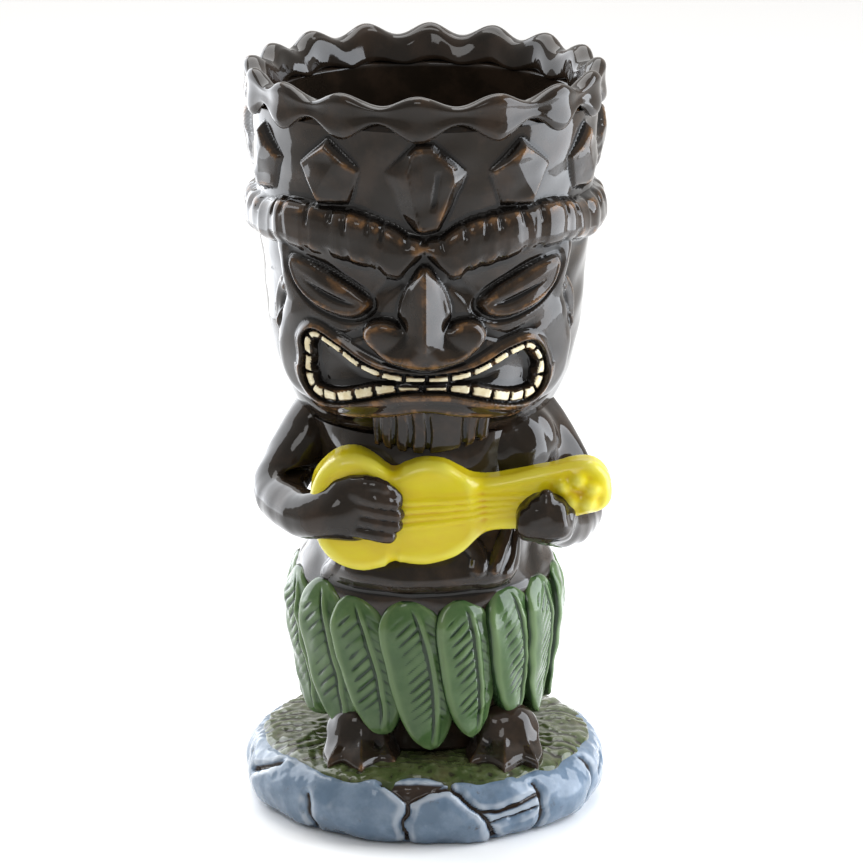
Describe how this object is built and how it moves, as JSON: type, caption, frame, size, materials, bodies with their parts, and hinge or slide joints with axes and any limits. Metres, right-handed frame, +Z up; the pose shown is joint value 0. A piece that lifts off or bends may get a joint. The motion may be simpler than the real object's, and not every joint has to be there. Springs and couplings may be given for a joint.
{
  "type": "tiki mug",
  "caption": "Tall glazed ceramic mug: a carved figure whose head is the cup plays a small guitar, in a leaf skirt, on a round cracked-stone base",
  "frame": {"origin": "centre of the foot, at the bottom of the bounding box", "axes": "+Z up through the mug, the longest extent; the figure faces -Y; +X is the viewer's right"},
  "size_m": [0.087, 0.0868, 0.18],
  "materials": {
    "brown_glaze": "near-black brown gloss glaze that thins to amber on raised edges",
    "cream_glaze": "cream gloss glaze",
    "yellow_glaze": "bright yellow gloss glaze",
    "leaf_glaze": "leaf-green gloss glaze, darker in the engraved veins",
    "grass_glaze": "mottled olive-green gloss glaze with dark specks",
    "stone_glaze": "blue-grey gloss glaze over brown in the cracks"
  },
  "bodies": {
    "root": {"arm_left": "brown_glaze", "arm_right": "brown_glaze", "brow_band": "brown_glaze", "cheek_left": "brown_glaze", "cheek_right": "brown_glaze", "chest_collar": "brown_glaze", "crown_kite": "brown_glaze", "crown_shield_01": "brown_glaze", "crown_shield_02": "brown_glaze", "crown_shield_03": "brown_glaze", "crown_shield_04": "brown_glaze", "crown_shield_05": "brown_glaze", "crown_shield_06": "brown_glaze", "crown_shield_07": "brown_glaze", "crown_shield_08": "brown_glaze", "crown_shield_09": "brown_glaze", "crown_shield_10": "brown_glaze", "eye_left": "brown_glaze", "eye_right": "brown_glaze", "foot_left": "brown_glaze", "foot_right": "brown_glaze", "grass_mound": "grass_glaze", "head_cup": "brown_glaze", "lips": "brown_glaze", "nose": "brown_glaze", "scalloped_lip": "brown_glaze", "skirt_leaf_01": "leaf_glaze", "skirt_leaf_02": "leaf_glaze", "skirt_leaf_03": "leaf_glaze", "skirt_leaf_04": "leaf_glaze", "skirt_leaf_05": "leaf_glaze", "skirt_leaf_06": "leaf_glaze", "skirt_leaf_07": "leaf_glaze", "skirt_leaf_08": "leaf_glaze", "skirt_leaf_09": "leaf_glaze", "skirt_leaf_10": "leaf_glaze", "skirt_leaf_11": "leaf_glaze", "skirt_leaf_12": "leaf_glaze", "skirt_leaf_13": "leaf_glaze", "skirt_leaf_14": "leaf_glaze", "skirt_leaf_15": "leaf_glaze", "skirt_leaf_16": "leaf_glaze", "stone_base": "stone_glaze", "teeth_lower": "cream_glaze", "teeth_upper": "cream_glaze", "trunk": "brown_glaze", "ukulele": "yellow_glaze"}
  },
  "joints": []
}
